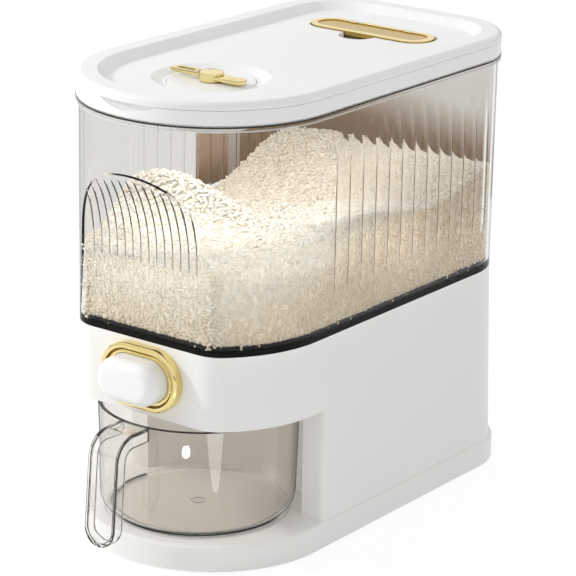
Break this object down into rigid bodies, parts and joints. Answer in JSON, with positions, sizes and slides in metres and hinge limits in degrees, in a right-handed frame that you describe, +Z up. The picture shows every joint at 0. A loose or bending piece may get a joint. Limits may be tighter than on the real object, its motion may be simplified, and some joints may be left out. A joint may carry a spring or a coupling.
{
  "type": "rice dispenser",
  "caption": "Counter-top rice dispenser: a clear tank over a white housing with a push-button gate, a lift-off lid with a desiccant holder, and a clear jug with a handle below.",
  "frame": {"origin": "on the ground under the centre of the half-round front, at the underside of the foot pad there", "axes": "+X to the right, +Y to the back, away from the button and the jug, +Z up"},
  "size_m": [0.1896, 0.3894, 0.3389],
  "materials": {
    "white_shell": "satin",
    "white_collar": "satin",
    "white_lid": "gloss",
    "white_base": "satin",
    "smoky_clear": "gloss",
    "clear_jug": "gloss",
    "black_seal": "gloss",
    "clear_seal": "matte",
    "rubber_foot": "matte",
    "inner_white": "matte",
    "gold_plating": "satin",
    "steel": "satin",
    "rice": "matte"
  },
  "bodies": {
    "dispenser": {"base_plate": "white_base", "rubber_feet": "rubber_foot", "base_screws": "steel", "lower_body": "white_shell", "hopper": "inner_white", "gate_guide": "inner_white", "guide_screws": "steel", "button_bezel": "gold_plating", "return_spring": "steel", "tank": "smoky_clear", "tank_seal": "black_seal", "tank_collar": "white_collar", "rice_fill": "rice"},
    "button": {"button_cap": "white_shell", "push_arm": "inner_white", "gate_plate": "inner_white"},
    "jug": {"jug_bowl": "clear_jug", "jug_handle": "clear_jug"},
    "lid": {"lid_cover": "white_lid", "lid_liner": "inner_white", "lid_screws": "steel", "lid_seal": "clear_seal", "desiccant_cup": "inner_white", "hinge_pins": "steel"},
    "cap": {"desiccant_cap": "white_lid", "cap_ring": "clear_seal"},
    "key": {"cap_key": "gold_plating", "key_clip": "steel"},
    "handle": {"lid_handle": "gold_plating"}
  },
  "joints": [
    {"name": "button_push", "type": "slide", "parent": "dispenser", "child": "button", "axis": [0, 1, 0], "range_m": [0, 0.014], "stiffness_N_per_m": 150, "springref_m": -0.008, "deforming": ["return_spring"]},
    {"name": "jug_slide", "type": "slide", "parent": "dispenser", "child": "jug", "axis": [0, -1, 0], "range_m": [0, 0.175]},
    {"name": "lid_lift", "type": "slide", "parent": "dispenser", "child": "lid", "axis": [0, 0, 1], "range_m": [0, 0.06]},
    {"name": "cap_lift", "type": "slide", "parent": "lid", "child": "cap", "axis": [0, 0, 1], "range_m": [0, 0.03]},
    {"name": "key_turn", "type": "hinge", "parent": "cap", "child": "key", "pos_m": [0, -0.0015, 0.3307], "axis": [0, 0, 1], "range_deg": [0, 90]},
    {"name": "handle_lift", "type": "hinge", "parent": "lid", "child": "handle", "pos_m": [0, 0.202, 0.3325], "axis": [-1, 0, 0], "range_deg": [0, 90]}
  ]
}
